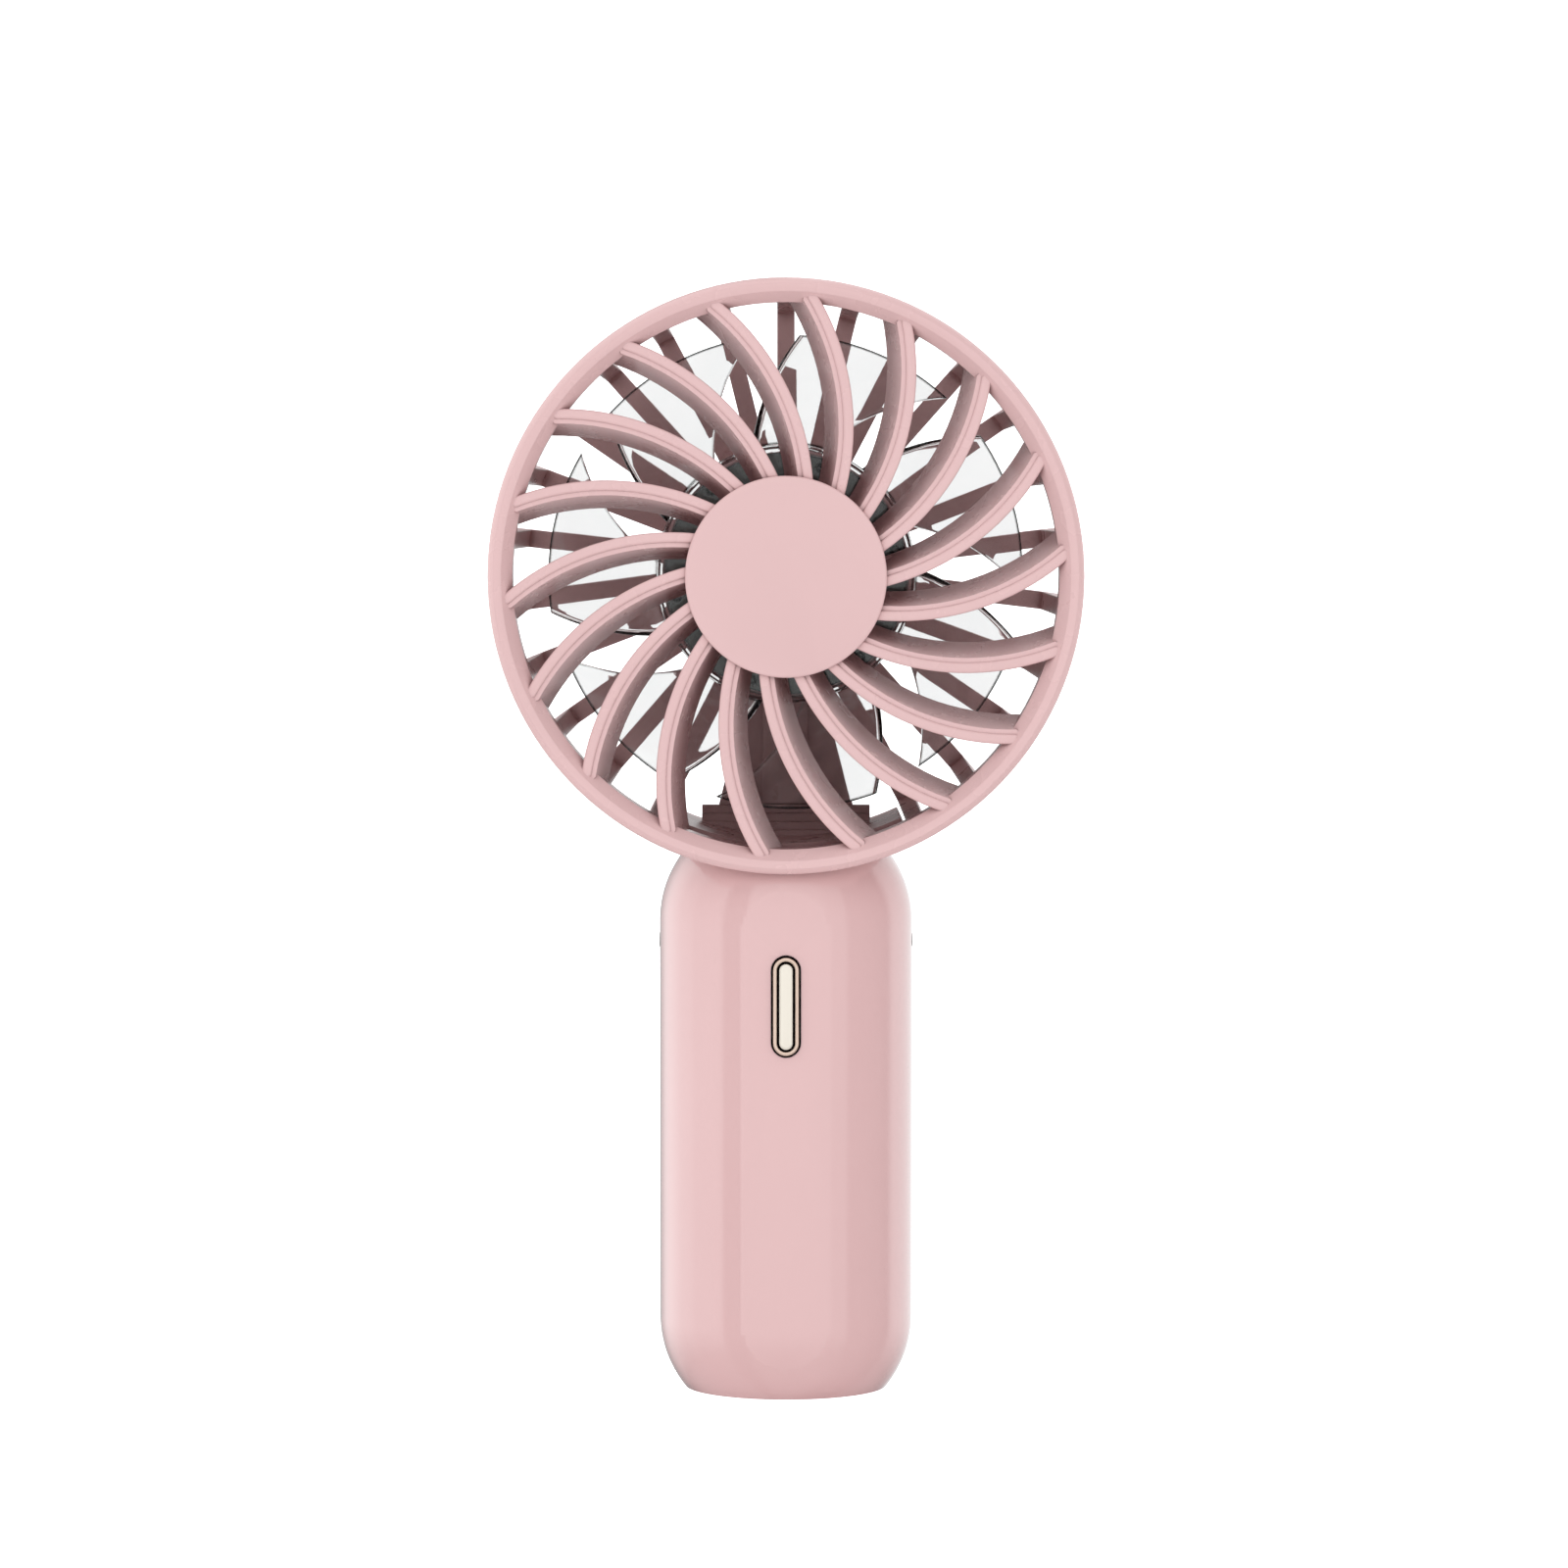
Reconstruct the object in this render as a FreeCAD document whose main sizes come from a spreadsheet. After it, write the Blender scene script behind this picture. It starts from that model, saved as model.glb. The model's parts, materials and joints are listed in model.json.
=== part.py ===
import FreeCAD, Part
import math
import os
import re

import Sketcher
from FreeCAD import Placement, Rotation, Vector

# Handheld electric fan. +Z is up, the front faces -Y, the origin is the centre of the flat foot.
# Head parts are modelled about the fan axis (+Y through the head centre) and lifted by head_height.

SIZES = {
    # overall
    "head_height": 125.5, "head_radius": 45.0, "running_gap": 0.05, "press_gap": 0.01,
    "parting_gap": 0.1,
    "far": 60.0,
    # front grille
    "ring_front": 20.4, "ring_back": 13.5, "ring_inner": 41.25, "ring_slope": 42.9, "ring_crown": 44.1,
    "skirt_outer": 43.4, "skirt_inner": 42.3, "skirt_back": 10.6,
    "vane_count": 18, "vane_width": 1.6, "shoulder_width": 0.8, "shoulder_drop": 0.35,
    "vane_shift": 0.4, "shoulder_overlap": 0.2, "vane_round": 0.35,
    "vane_front": 19.6, "vane_back": 12.2, "vane_lean": 2.2, "vane_foot": 13.5, "vane_tip": 42.1,
    "vane_foot_angle": 16.7, "vane_mid_angle": 31.3, "vane_tip_angle": 44.9,
    "boss_radius": 14.6, "boss_back": 14.2, "boss_front": 19.1,
    "cap_radius": 15.2, "cap_back": 19.65, "cap_front": 20.35, "cap_round": 0.3, "stem_radius": 2.0,
    "stem_back": 15.2,
    # rear cage
    "rim_inner": 43.5, "rim_front": 13.4, "rim_back": 8.4, "ledge_front": 10.4, "ledge_inner": 42.3,
    "rib_count": 26, "rib_width": 2.7, "rib_root_outer": 44.3, "rib_root_inner": 42.3,
    "rib_bend_outer": 42.7, "rib_bend_inner": 40.1, "bar_front": 14.3, "bar_back": 16.9, "bend_round": 3.2,
    "cup_outer": 19.3, "cup_inner": 17.6, "cup_front": 8.9, "cup_floor": 10.6, "cup_hole": 6.2,
    "neck_front": 10.4, "neck_top_half": 5.8, "neck_foot_half": 11.7, "neck_top": 18.0, "neck_foot": 41.8,
    "step_half": 13.0,
    "saddle_inner": 41.0, "saddle_angle": 25.0, "step_count": 4, "step_top": 36.4, "step_rise": 1.2,
    "channel_half": 3.0, "channel_front": 12.2, "channel_back": 15.2,
    "cover_half": 3.6, "cover_front": 9.2, "cover_top": 19.8, "cover_foot": 36.2,
    "spigot_half_width": 9.0, "spigot_half_depth": 8.0, "spigot_foot": 56.2,
    "rear_cap_radius": 17.45, "rear_cap_front": 15.4, "rear_cap_back": 17.9, "rear_cap_round": 1.4,
    # impeller, all distances along the fan axis
    "hub_radius": 19.8, "hub_bore": 18.45, "hub_front": 6.2, "hub_floor": 4.7, "hub_back": 5.6,
    "hub_round": 1.3, "hub_boss": 3.2, "pip_circle": 17.0, "pip_radius": 0.55,
    "blade_count": 7, "blade_tip": 36.4, "blade_front": 4.0, "blade_back": 4.4, "blade_thick": 1.25,
    "blade_camber": 0.9, "blade_root": 16.5, "blade_trim": 3.2, "blade_reach": 37.0,
    "nose_angle": 33.5, "nose_slope": 1.08,
    "tail_angle": -4.775, "tail_slope": 1.55,
    # motor
    "shaft_radius": 1.5, "shaft_front": 5.6, "shaft_back": 10.3, "can_radius": 18.42, "can_wall": 1.0,
    "can_front": 4.65, "can_back": 5.0, "can_boss": 3.0, "can_boss_back": 2.9,
    "magnet_inner": 15.6, "magnet_front": 3.3, "magnet_back": 4.6,
    "stator_radius": 15.25, "stator_front": 1.2, "stator_back": 3.0, "stator_bore": 5.03,
    "tooth_count": 12, "tooth_width": 2.6, "tooth_root": 6.6, "shoe_inner": 13.9, "shoe_half": 3.2,
    "coil_inner": 7.4, "coil_outer": 13.5, "coil_half": 2.2, "coil_front": 2.6, "coil_back": 4.3,
    "coil_round": 0.9, "coil_gap": 0.35,
    "board_front": 5.3, "board_back": 6.1, "board_outer": 14.0, "board_inner": 5.2,
    "tube_outer": 5.0, "tube_inner": 3.5, "tube_front": 2.0, "base_front": 7.1, "base_back": 8.85,
    "base_radius": 16.6, "bearing_length": 3.2, "clip_radius": 2.6, "clip_front": 9.1, "clip_back": 9.7,
    "motor_screw_circle": 12.0, "motor_screw_radius": 0.95, "motor_screw_head": 1.8,
    "lead_hole": 2.0, "lead_hole_drop": 10.5,
    # handle
    "handle_radius": 19.4, "handle_wall": 2.0, "foot_radius": 15.5, "foot_round": 17.2,
    "lower_straight": 10.9, "upper_straight": 72.5, "handle_top": 84.0, "top_radius": 14.6,
    "cavity_low": 1.5, "cavity_low_radius": 14.65, "cavity_round": 15.2, "cavity_top_radius": 12.4,
    "facet_depth": 18.38, "plate_radius": 13.6, "plate_flange": 14.4, "plate_step": 1.55,
    "plate_thick": 2.9, "plate_gap": 0.1,
    # button and switch
    "button_height": 60.4, "button_half_width": 2.15, "button_half_length": 5.5, "button_proud": 0.95,
    "button_land": 1.05, "button_gap": 0.12, "button_crown": 0.75, "button_round": 0.25, "button_flange": 0.8,
    "flange_front": 16.2, "flange_back": 15.5,
    "button_travel": 0.6, "switch_front": 13.9, "plunger_front": 14.7, "plunger_back": 13.1,
    "plunger_radius": 1.3, "switch_half": 3.0, "stem_half": 1.2,
    "circuit_front": 11.6, "circuit_back": 10.4, "circuit_half": 9.0, "circuit_foot": 37.0,
    "circuit_top": 71.4,
    "circuit_screw_low": 41.0, "circuit_screw_high": 64.0, "circuit_screw_side": 6.4,
    "small_screw_radius": 0.8, "small_screw_head": 1.6, "small_boss": 2.0,
    # battery and charging
    "cell_radius": 9.1, "cell_foot": 17.0, "cell_top": 66.5, "cell_depth": 4.3, "pad_thick": 1.4,
    "socket_half_width": 4.4, "socket_half_height": 1.55, "socket_height": 10.9, "socket_front": 11.4,
    "socket_back": 18.5, "charge_top": 9.3, "charge_thick": 1.0, "charge_half": 6.8, "charge_front": 6.0,
    "charge_back": 15.6,
    # fasteners and eyelets
    "screw_radius": 1.0, "screw_head": 1.9, "screw_boss": 2.7, "lower_screw_side": 10.4,
    "lower_screw_height": 13.5, "neck_screw_side": 6.2, "neck_screw_height": 74.6, "wire_radius": 0.55,
    "screw_head_height": 1.6, "recess_half": 1.2, "recess_width": 0.55, "recess_depth": 0.8,
    "lower_boss_root": 16.0, "upper_boss_root": 17.5, "lower_seat": 11.0, "upper_seat": 13.0,
    "lower_screw_end": 8.0, "upper_screw_end": 13.0, "lower_pilot_end": 14.0, "upper_pilot_end": 14.5,
    "board_pilot_end": 15.4,
    "eyelet_height": 69.0, "eyelet_outer": 1.1, "eyelet_bore": 0.7, "eyelet_length": 2.4,
    "eyelet_proud": 0.05,
}

doc = FreeCAD.newDocument("HandheldFan")
sheet = doc.addObject("Spreadsheet::Sheet", "Sizes")
for row, (alias, number) in enumerate(SIZES.items(), start=1):
    sheet.set("A%d" % row, alias)
    sheet.set("B%d" % row, str(number))
    sheet.setAlias("B%d" % row, alias)
doc.recompute()

NODES = []
ALONG_Y = Rotation(Vector(1, 0, 0), -90)
ALONG_X = Rotation(Vector(0, 1, 0), 90)
CIRCUIT_SCREWS = (("0", "circuit_screw_low"), ("circuit_screw_side", "circuit_screw_high"))
MOTOR_SCREWS = [("motor_screw_circle * cos(%d deg)" % angle, "motor_screw_circle * sin(%d deg)" % angle)
                for angle in (90, 210, 330)]
SIDES = ("0 - ", "")


def size(alias):
    """Value of one sheet size."""
    return float(getattr(sheet, alias))


def bound(text):
    """The same text with each size name pointing at its sheet cell."""
    return re.sub(r"[a-z_]+", lambda m: "Sizes." + m.group() if m.group() in SIZES else m.group(), text)


def amount(text):
    """Value of a sum of sizes and products, such as 'head_radius - handle_wall * 2'."""
    total = 0.0
    for term in text.replace("- ", "+ -1 * ").split("+"):
        if not term.strip():
            continue
        product = 1.0
        for factor in term.split("*"):
            word = factor.strip()
            product *= size(word) if word in SIZES else float(word)
        total += product
    return total


def bind(thing, **formulas):
    """Tie properties to sheet formulas. Double underscores stand for dots."""
    for name, text in formulas.items():
        thing.setExpression(name.replace("__", "."), bound(text))
    return thing


def at(thing, x="0", y="0", z="0"):
    """Place an object by three sheet formulas."""
    return bind(thing, Placement__Base__x=x, Placement__Base__y=y, Placement__Base__z=z)


def node(thing, label):
    """Name an object as one finished piece of the fan."""
    thing.Label = label
    NODES.append(thing)
    return thing


def head_node(thing, label):
    """A finished piece of the head, lifted to the fan axis."""
    bind(thing, Placement__Base__z="head_height")
    return node(thing, label)


def box(x0, x1, y0, y1, z0, z1):
    """Box between six formulas."""
    thing = doc.addObject("Part::Box", "Box")
    between = "(%s) - (%s)"
    bind(thing, Length=between % (x1, x0), Width=between % (y1, y0), Height=between % (z1, z0))
    return at(thing, x0, y0, z0)


def rod(radius, start, end, x="0", z="0"):
    """Cylinder along +Y from start to end."""
    thing = doc.addObject("Part::Cylinder", "Rod")
    thing.Placement = Placement(Vector(), ALONG_Y)
    bind(thing, Radius=radius, Height="(%s) - (%s)" % (end, start))
    return at(thing, x, start, z)


def post(radius, low, high, x="0", y="0"):
    """Cylinder along +Z from low to high."""
    thing = doc.addObject("Part::Cylinder", "Post")
    bind(thing, Radius=radius, Height="(%s) - (%s)" % (high, low))
    return at(thing, x, y, low)


def peg(radius, start, end, y="0", z="0"):
    """Cylinder along +X from start to end."""
    thing = doc.addObject("Part::Cylinder", "Peg")
    thing.Placement = Placement(Vector(), ALONG_X)
    bind(thing, Radius=radius, Height="(%s) - (%s)" % (end, start))
    return at(thing, start, y, z)


def join(*things):
    """Union of several objects."""
    fused = doc.addObject("Part::MultiFuse", "Join")
    fused.Shapes = list(things)
    return fused


def cut(base, *tools):
    """An object with one or more tools taken away."""
    taken = doc.addObject("Part::Cut", "Cut")
    taken.Base = base
    taken.Tool = tools[0] if len(tools) == 1 else join(*tools)
    return taken


def common(first, second):
    """Overlap of two objects."""
    both = doc.addObject("Part::Common", "Common")
    both.Base = first
    both.Tool = second
    return both


def group(*things):
    """Separate solids kept as one node."""
    held = doc.addObject("Part::Compound", "Group")
    held.Links = list(things)
    return held


def made(name, shape):
    """Shape worked out by formulas that no feature offers."""
    feature = doc.addObject("Part::Feature", name)
    feature.Shape = shape
    return feature


def plane_sketch(body, role):
    """Sketch on one of the body's own origin planes."""
    sketch = body.newObject("Sketcher::SketchObject", "Profile")
    plane = [item for item in body.Origin.OriginFeatures if item.Role == role][0]
    sketch.AttachmentSupport = [(plane, "")]
    sketch.MapMode = "FlatFace"
    return sketch


def arc_edge(start, end, radius, turn):
    """Short arc between two corners. turn is +1 when its centre lies left of the way it runs."""
    middle = (start + end) * 0.5
    way = end - start
    rise = math.sqrt(max(radius ** 2 - (way.Length / 2) ** 2, 0.0))
    centre = middle + Vector(-way.y, way.x, 0).normalize() * rise * turn
    first, last = (start, end) if turn > 0 else (end, start)
    low = math.atan2(first.y - centre.y, first.x - centre.x)
    high = math.atan2(last.y - centre.y, last.x - centre.x)
    if high <= low:
        high += 2 * math.pi
    return Part.ArcOfCircle(Part.Circle(centre, Vector(0, 0, 1), radius), low, high)


def outline(sketch, corners):
    """Closed outline through corners (x, y) or, where an arc ends, (x, y, radius, turn)."""
    points = [Vector(amount(corner[0]), amount(corner[1]), 0) for corner in corners]
    ends = []
    for index, corner in enumerate(corners):
        start, end = points[index - 1], points[index]
        if len(corner) == 2:
            edge = sketch.addGeometry(Part.LineSegment(start, end), False)
            ends.append((edge, 1, 2))
        else:
            edge = sketch.addGeometry(arc_edge(start, end, amount(corner[2]), corner[3]), False)
            ends.append((edge, 1, 2) if corner[3] > 0 else (edge, 2, 1))
    for index, corner in enumerate(corners):
        edge, _, last = ends[index]
        following, first, _ = ends[(index + 1) % len(corners)]
        sketch.addConstraint(Sketcher.Constraint("Coincident", edge, last, following, first))
        for kind, text, value in zip(("DistanceX", "DistanceY"), corner, points[index]):
            number = sketch.addConstraint(Sketcher.Constraint(kind, -1, 1, edge, last, value))
            sketch.setExpression("Constraints[%d]" % number, bound(text))
        if len(corner) > 2:
            number = sketch.addConstraint(Sketcher.Constraint("Radius", edge, amount(corner[2])))
            sketch.setExpression("Constraints[%d]" % number, bound(corner[2]))


def turned(corners, axis="Y_Axis"):
    """Body of revolution from a half profile of (radius, distance along the axis)."""
    body = doc.addObject("PartDesign::Body", "Turned")
    sketch = plane_sketch(body, "XY_Plane" if axis == "Y_Axis" else "XZ_Plane")
    outline(sketch, corners)
    sweep = body.newObject("PartDesign::Revolution", "Sweep")
    sweep.Profile = sketch
    sweep.ReferenceAxis = ([item for item in body.Origin.OriginFeatures if item.Role == axis][0], [""])
    sweep.Angle = 360.0
    return body


def padded(role, corners, length):
    """Body padded equally both ways from an origin plane."""
    body = doc.addObject("PartDesign::Body", "Padded")
    sketch = plane_sketch(body, role)
    outline(sketch, corners)
    pad = body.newObject("PartDesign::Pad", "Pad")
    pad.Profile = sketch
    pad.Midplane = True
    bind(pad, Length=length)
    return body


def ring_of(body, count):
    """Repeat the body's last feature round the fan axis."""
    pattern = body.newObject("PartDesign::PolarPattern", "Round")
    pattern.Originals = [body.Tip]
    pattern.Axis = ([item for item in body.Origin.OriginFeatures if item.Role == "Y_Axis"][0], [""])
    pattern.Angle = 360.0
    bind(pattern, Occurrences=count)
    body.Tip = pattern
    return body


def polar(radius, degrees, y=0.0):
    """Point about the fan axis, angles counter-clockwise from +X as seen from the front."""
    return Vector(radius * math.cos(math.radians(degrees)), y, radius * math.sin(math.radians(degrees)))


def around(shape, count, start=0.0):
    """Copies of a shape at equal steps round the fan axis."""
    copies = []
    for step in range(int(count)):
        copy = shape.copy()
        copy.rotate(Vector(), Vector(0, -1, 0), start + 360.0 * step / count)
        copies.append(copy)
    return copies


def pipe(points, radius):
    """Round lead: straight runs with a slightly larger ball at each bend."""
    stops = [Vector(*point) for point in points]
    runs = [Part.makeCylinder(radius, (end - start).Length, start, end - start)
            for start, end in zip(stops, stops[1:])]
    balls = [Part.makeSphere(radius * 1.06, stop) for stop in stops[1:-1]]
    return runs[0].multiFuse(runs[1:] + balls)


# ---------------------------------------------------------------- front grille

def vane_slab(side_low, side_high, front):
    """One leaning vane: a curved strip in the grille's plane, swept backward and sideways."""
    foot, tip = size("vane_foot"), size("vane_tip")
    angles = (size("vane_foot_angle"), size("vane_mid_angle"), size("vane_tip_angle"))
    line = [polar(radius, angle, -front) for radius, angle in zip((foot, (foot + tip) / 2, tip), angles)]
    ways = (line[1] - line[0], line[2] - line[0], line[2] - line[1])
    sides = [Vector(-way.z, 0, way.x).normalize() for way in ways]
    low = [point + side * side_low for point, side in zip(line, sides)]
    high = [point + side * side_high for point, side in zip(line, sides)]
    end = (low[2] + high[2]) * 0.5 + ways[2].normalize() * ((side_high - side_low) / 2)
    edges = [Part.Arc(*low).toShape(), Part.Arc(low[2], end, high[2]).toShape(),
             Part.Arc(*reversed(high)).toShape(), Part.LineSegment(high[0], low[0]).toShape()]
    depth = front - size("vane_back")
    lean = sides[1] * (size("vane_lean") * depth / (size("vane_front") - size("vane_back")))
    return Part.Face(Part.Wire(edges)).extrude(lean + Vector(0, depth, 0))


def rounded_front(slab):
    """The same vane with its two long front edges and its tip rounded."""
    front = min(edge.CenterOfMass.y for edge in slab.Edges)
    rims = [edge for edge in slab.Edges
            if edge.CenterOfMass.y < front + 0.01 and edge.Curve.TypeId != "Part::GeomLine"]
    return slab.makeFillet(size("vane_round"), rims)


def front_grille():
    ring = turned([("ring_inner", "0 - ring_back"), ("ring_inner", "0 - ring_front + 2.1"),
                   ("ring_slope", "0 - ring_front + 0.25"), ("ring_crown", "0 - ring_front", "3.0", 1),
                   ("head_radius", "0 - ring_front + 1.6", "1.9", 1), ("head_radius", "0 - ring_back")])
    skirt = turned([("skirt_inner", "0 - ring_back - 1"), ("skirt_outer", "0 - ring_back - 1"),
                    ("skirt_outer", "0 - skirt_back"), ("skirt_inner", "0 - skirt_back")])
    boss = cut(rod("boss_radius", "0 - boss_front", "0 - boss_back"),
               rod("stem_radius + running_gap", "0 - boss_front - 1", "0 - boss_back + 1"))
    low = -size("vane_width") / 2 - size("vane_shift")
    high = low + size("vane_width")
    shoulder = vane_slab(high - size("shoulder_overlap"), high + size("shoulder_width"),
                         size("vane_front") - size("shoulder_drop"))
    vane = rounded_front(vane_slab(low, high, size("vane_front"))).fuse(shoulder)
    vanes = made("Vanes", Part.makeCompound(around(vane, size("vane_count"))))
    clear = rod("boss_radius - 0.6", "0 - ring_front", "0 - vane_back + 1")
    return head_node(join(ring, skirt, cut(vanes, clear), boss), "front_grille")


def grille_cap():
    disc = turned([("0", "0 - cap_back"), ("0", "0 - cap_front"),
                   ("cap_radius - cap_round", "0 - cap_front"),
                   ("cap_radius", "0 - cap_front + cap_round", "cap_round", 1),
                   ("cap_radius", "0 - cap_back")])
    stem = rod("stem_radius", "0 - cap_front + 0.5", "0 - stem_back")
    return head_node(join(disc, stem), "grille_cap")


# ---------------------------------------------------------------- rear cage

def cage_ribs():
    ribs = padded("YZ_Plane", [("0 - rim_back - 0.5", "rib_root_inner"),
                               ("0 - rim_back - 0.5", "rib_root_outer"),
                               ("bar_back - bend_round", "rib_bend_outer"),
                               ("bar_back", "rib_bend_outer - bend_round", "bend_round", -1),
                               ("bar_back", "cup_inner + 0.5"), ("bar_front", "cup_inner + 0.5"),
                               ("bar_front", "rib_bend_inner - 0.8"),
                               ("bar_front - 0.8", "rib_bend_inner", "0.8", 1)], "rib_width")
    return ring_of(ribs, "rib_count")


def neck_block():
    """Neck from the motor cup to the saddle, with stepped shelves in front of its foot."""
    wedge = padded("XZ_Plane", [("neck_top_half", "0 - neck_top"), ("0 - neck_top_half", "0 - neck_top"),
                                ("0 - neck_foot_half", "0 - neck_foot"),
                                ("neck_foot_half", "0 - neck_foot")], "bar_back * 2")
    core = common(wedge, box("0 - far", "far", "neck_front", "bar_back", "0 - far", "0"))
    steps = []
    for index in range(int(size("step_count"))):
        front = "neck_front - step_rise * %d" % (index + 1)
        top = "0 - step_top - step_rise * %d" % index
        steps.append(box("0 - step_half", "step_half", front, "neck_front + 1", "0 - neck_foot", top))
    return join(core, *steps)


def saddle():
    """Arched wall that sits in the top of the handle."""
    shell = turned([("saddle_inner", "0 - rim_back - 0.5"), ("head_radius", "0 - rim_back - 0.5"),
                    ("head_radius", "bar_back"), ("saddle_inner", "bar_back")])
    slope = size("head_radius") * 1.2
    reach = slope * math.tan(math.radians(size("saddle_angle")))
    corners = [Vector(), Vector(-reach, 0, -slope), Vector(reach, 0, -slope), Vector()]
    sector = made("Sector", Part.Face(Part.makePolygon(corners)).extrude(Vector(0, size("far"), 0)))
    sector.Placement = Placement(Vector(0, -size("far") / 2, 0), Rotation())
    return common(shell, sector)


def rear_cage():
    rim = turned([("rim_inner", "0 - rim_front"), ("head_radius", "0 - rim_front"),
                  ("head_radius", "0 - rim_back"), ("ledge_inner", "0 - rim_back"),
                  ("ledge_inner", "0 - ledge_front"), ("rim_inner", "0 - ledge_front")])
    cup = turned([("cup_hole", "cup_front"), ("cup_outer", "cup_front"), ("cup_outer", "bar_back"),
                  ("cup_inner", "bar_back"), ("cup_inner", "cup_floor"), ("cup_hole", "cup_floor")])
    spigot = box("0 - spigot_half_width", "spigot_half_width", "0 - spigot_half_depth", "spigot_half_depth",
                 "0 - spigot_foot", "0 - head_radius + 2")
    solid = join(rim, cup, cage_ribs(), neck_block(), saddle(), spigot)
    channel = box("0 - channel_half", "channel_half", "channel_front", "channel_back",
                  "0 - head_radius + 2.2", "0 - cup_inner + 2")
    mouth = box("0 - cover_half + 0.6", "cover_half - 0.6", "neck_front - 1", "channel_front + 1",
                "0 - cover_foot + 1", "0 - cover_top - 1")
    drop = box("0 - channel_half", "channel_half", "0 - 2", "channel_back", "0 - head_radius - 1.6",
               "0 - head_radius + 2.4")
    well = box("0 - channel_half", "channel_half", "0 - 2", "4", "0 - spigot_foot - 1", "0 - head_radius")
    holes = [rod("motor_screw_radius", "cup_front - 1", "cup_floor + 1", *spot) for spot in MOTOR_SCREWS]
    lead_hole = rod("lead_hole", "cup_front - 1", "cup_floor + 1", "0", "0 - lead_hole_drop")
    screws = [rod("screw_radius + running_gap", "0 - spigot_half_depth - 1", "spigot_half_depth + 1",
                  side + "neck_screw_side", "neck_screw_height - head_height") for side in SIDES]
    return head_node(cut(solid, channel, mouth, drop, well, lead_hole, *holes, *screws), "rear_cage")


def neck_cover():
    panel = box("0 - cover_half", "cover_half", "cover_front", "neck_front - 0.02", "0 - cover_foot",
                "0 - cover_top")
    tongue = box("0 - cover_half + 0.7", "cover_half - 0.7", "cover_front + 0.5", "channel_front - 0.4",
                 "0 - cover_foot + 1.1", "0 - cover_top - 1.1")
    return head_node(join(panel, tongue), "neck_cover")


def rear_cap():
    disc = turned([("0", "rear_cap_front"), ("rear_cap_radius", "rear_cap_front"),
                   ("rear_cap_radius", "rear_cap_back - rear_cap_round"),
                   ("rear_cap_radius - rear_cap_round", "rear_cap_back", "rear_cap_round", 1),
                   ("0", "rear_cap_back")])
    return head_node(disc, "rear_cap")


# ---------------------------------------------------------------- impeller

def blade_section(radius):
    """Curved closed section of one blade with both ends at one distance from the fan axis."""
    beyond = size("blade_reach") - radius
    nose_angle = size("nose_angle") + beyond * size("nose_slope")
    tail_angle = size("tail_angle") + beyond * size("tail_slope")
    nose = polar(radius, nose_angle, -size("blade_front"))
    tail = polar(radius, tail_angle, size("blade_back"))
    way = (nose - tail).normalize()
    half = size("blade_thick") / 2
    out = way.cross(polar(1.0, (nose_angle + tail_angle) / 2)).normalize() * half
    centre = (tail + nose) * 0.5 + out * (size("blade_camber") / half)
    upper = Part.Arc(tail + out, centre + out, nose + out).toShape()
    front = Part.Arc(nose + out, nose + way * half, nose - out).toShape()
    lower = Part.Arc(nose - out, centre - out, tail - out).toShape()
    back = Part.Arc(tail - out, tail - way * half, tail + out).toShape()
    return Part.Wire([upper, front, lower, back])


def blades():
    first, last = size("blade_root"), size("blade_tip") + size("blade_trim")
    radii = [first + (last - first) * step / 4 for step in range(5)]
    blade = Part.makeLoft([blade_section(radius) for radius in radii], True)
    axis, length = Vector(0, 1, 0), size("far")
    start = axis * (-length / 2)
    tip = Part.makeCylinder(size("blade_tip"), length, start, axis)
    root = Part.makeCylinder(size("hub_radius") - 0.6, length, start, axis)
    return around(blade.common(tip.cut(root)), size("blade_count"))


def impeller():
    hub = turned([("shaft_radius", "0 - hub_front + 0.4"), ("hub_boss", "0 - hub_front"),
                  ("hub_radius - hub_round", "0 - hub_front"),
                  ("hub_radius", "0 - hub_front + hub_round", "hub_round", 1), ("hub_radius", "hub_back"),
                  ("hub_bore", "hub_back"), ("hub_bore", "0 - hub_floor"),
                  ("shaft_radius", "0 - hub_floor")])
    pips = [rod("pip_radius", "0 - hub_front - 0.35", "0 - hub_front + 0.5",
                "pip_circle * cos(%d deg)" % angle, "pip_circle * sin(%d deg)" % angle)
            for angle in range(12, 360, 60)]
    return head_node(join(hub, made("Blades", Part.makeCompound(blades())), *pips), "impeller")


# ---------------------------------------------------------------- motor

def rotor():
    inside, floor = "can_radius - can_wall", "0 - can_front + can_wall"
    can = turned([("shaft_radius", "0 - can_front"), ("can_radius", "0 - can_front"),
                  ("can_radius", "can_back"), (inside, "can_back"), (inside, floor), ("can_boss", floor),
                  ("can_boss", "0 - can_boss_back"), ("shaft_radius", "0 - can_boss_back")])
    magnet = turned([("magnet_inner", "0 - magnet_front"), (inside + " - press_gap", "0 - magnet_front"),
                     (inside + " - press_gap", "magnet_back"), ("magnet_inner", "magnet_back")])
    head_node(can, "rotor_can")
    head_node(magnet, "magnet_ring")
    head_node(rod("shaft_radius - press_gap", "0 - shaft_front", "shaft_back"), "motor_shaft")
    clip = cut(rod("clip_radius", "clip_front", "clip_back"),
               rod("shaft_radius", "clip_front - 1", "clip_back + 1"))
    head_node(clip, "shaft_clip")


def bearings():
    for label, start in (("front_bearing", "0 - tube_front + 0.2"),
                         ("rear_bearing", "base_back - bearing_length - 0.2")):
        sleeve = cut(rod("tube_inner - press_gap", start, start + " + bearing_length"),
                     rod("shaft_radius + 0.03", start + " - 1", start + " + bearing_length + 1"))
        head_node(sleeve, label)


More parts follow.
